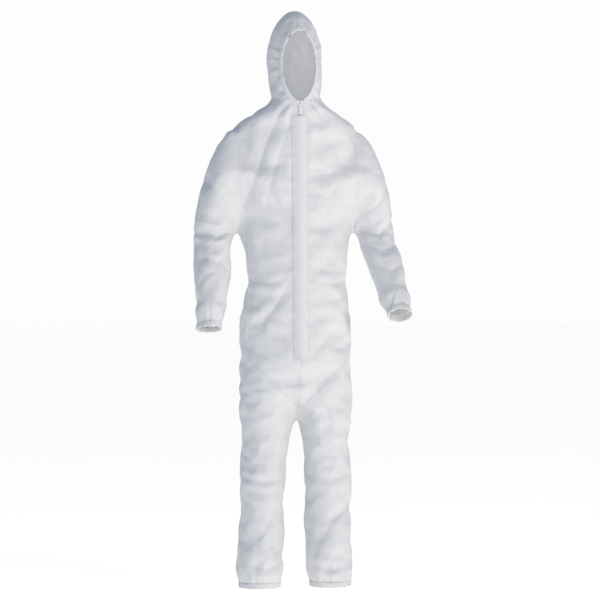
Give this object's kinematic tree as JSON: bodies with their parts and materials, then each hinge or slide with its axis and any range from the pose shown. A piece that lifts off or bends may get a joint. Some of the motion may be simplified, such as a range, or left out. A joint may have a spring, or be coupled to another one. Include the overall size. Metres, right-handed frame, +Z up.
{
  "type": "protective coverall",
  "caption": "White hooded protective coverall with elasticated hood, cuffs, waist and ankles, and a front zip under a storm flap.",
  "frame": {"origin": "on the floor midway between the two legs, below the crotch, where a stand or a wearer holds the suit up", "axes": "+Z up along the body, -Y the suit's front, +X the wearer's left"},
  "size_m": [0.6418, 0.3242, 1.7515],
  "materials": {
    "suit_fabric": "matte",
    "waist_casing_fabric": "matte",
    "covered_elastic": "matte",
    "zip_tape": "matte",
    "zip_nylon": "satin",
    "slider_plastic": "satin",
    "label_cloth": "matte"
  },
  "bodies": {
    "trunk": {"left_front_panel": "suit_fabric", "right_front_panel": "suit_fabric", "left_back_panel": "suit_fabric", "right_back_panel": "suit_fabric", "zip_tape_left": "zip_tape", "zip_tape_right": "zip_tape", "zip_coil_left": "zip_nylon", "zip_coil_right": "zip_nylon", "zip_top_stop_left": "zip_nylon", "zip_top_stop_right": "zip_nylon", "zip_bottom_stop": "zip_nylon", "waist_elastic": "covered_elastic", "waist_casing": "waist_casing_fabric", "size_label": "label_cloth"},
    "storm_flap_body": {"storm_flap": "suit_fabric"},
    "zip_slider_body": {"zip_slider": "slider_plastic"},
    "pull_tab_body": {"pull_tab": "slider_plastic"},
    "hood": {"hood_left_panel": "suit_fabric", "hood_right_panel": "suit_fabric", "hood_face_hem": "suit_fabric", "hood_face_elastic": "covered_elastic"},
    "left_upper_arm": {"left_upper_sleeve": "suit_fabric"},
    "left_forearm": {"left_forearm_sleeve": "suit_fabric", "left_cuff_hem": "suit_fabric", "left_cuff_elastic": "covered_elastic"},
    "left_thigh": {"left_thigh_front": "suit_fabric", "left_thigh_back": "suit_fabric"},
    "left_shin": {"left_shin_front": "suit_fabric", "left_shin_back": "suit_fabric", "left_ankle_hem": "suit_fabric", "left_ankle_elastic": "covered_elastic"},
    "right_upper_arm": {"right_upper_sleeve": "suit_fabric"},
    "right_forearm": {"right_forearm_sleeve": "suit_fabric", "right_cuff_hem": "suit_fabric", "right_cuff_elastic": "covered_elastic"},
    "right_thigh": {"right_thigh_front": "suit_fabric", "right_thigh_back": "suit_fabric"},
    "right_shin": {"right_shin_front": "suit_fabric", "right_shin_back": "suit_fabric", "right_ankle_hem": "suit_fabric", "right_ankle_elastic": "covered_elastic"}
  },
  "joints": [
    {"name": "storm_flap_hinge", "type": "hinge", "parent": "trunk", "child": "storm_flap_body", "pos_m": [0.0212, -0.10546, 1.06005], "axis": [0, 0.0387, 0.9993], "range_deg": [0, 150]},
    {"name": "zip_slide", "type": "slide", "parent": "trunk", "child": "zip_slider_body", "axis": [0, -0.0387, -0.9993], "range_m": [0, 0.726]},
    {"name": "pull_tab_hinge", "type": "hinge", "parent": "zip_slider_body", "child": "pull_tab_body", "pos_m": [0, -0.09121, 1.45409], "axis": [-1, 0, 0], "range_deg": [0, 150]},
    {"name": "hood_fold", "type": "hinge", "parent": "trunk", "child": "hood", "pos_m": [0, 0.046, 1.47515], "axis": [-1, 0, 0], "range_deg": [0, 60]},
    {"name": "left_shoulder", "type": "hinge", "parent": "trunk", "child": "left_upper_arm", "pos_m": [0.17815, 0, 1.405], "axis": [0, -1, 0], "range_deg": [0, 80]},
    {"name": "left_elbow", "type": "hinge", "parent": "left_upper_arm", "child": "left_forearm", "pos_m": [0.249, -0.06, 1.06685], "axis": [-1, 0, 0], "range_deg": [0, 82]},
    {"name": "left_hip", "type": "hinge", "parent": "trunk", "child": "left_thigh", "pos_m": [0.0865, -0.095, 0.64], "axis": [-1, 0, 0], "range_deg": [0, 60]},
    {"name": "left_knee", "type": "hinge", "parent": "left_thigh", "child": "left_shin", "pos_m": [0.1, 0.079, 0.325], "axis": [1, 0, 0], "range_deg": [0, 100]},
    {"name": "right_shoulder", "type": "hinge", "parent": "trunk", "child": "right_upper_arm", "pos_m": [-0.17815, 0, 1.405], "axis": [0, 1, 0], "range_deg": [0, 80]},
    {"name": "right_elbow", "type": "hinge", "parent": "right_upper_arm", "child": "right_forearm", "pos_m": [-0.249, -0.06, 1.06685], "axis": [-1, 0, 0], "range_deg": [0, 100]},
    {"name": "right_hip", "type": "hinge", "parent": "trunk", "child": "right_thigh", "pos_m": [-0.0865, -0.095, 0.64], "axis": [-1, 0, 0], "range_deg": [0, 60]},
    {"name": "right_knee", "type": "hinge", "parent": "right_thigh", "child": "right_shin", "pos_m": [-0.1, 0.079, 0.325], "axis": [1, 0, 0], "range_deg": [0, 100]}
  ]
}
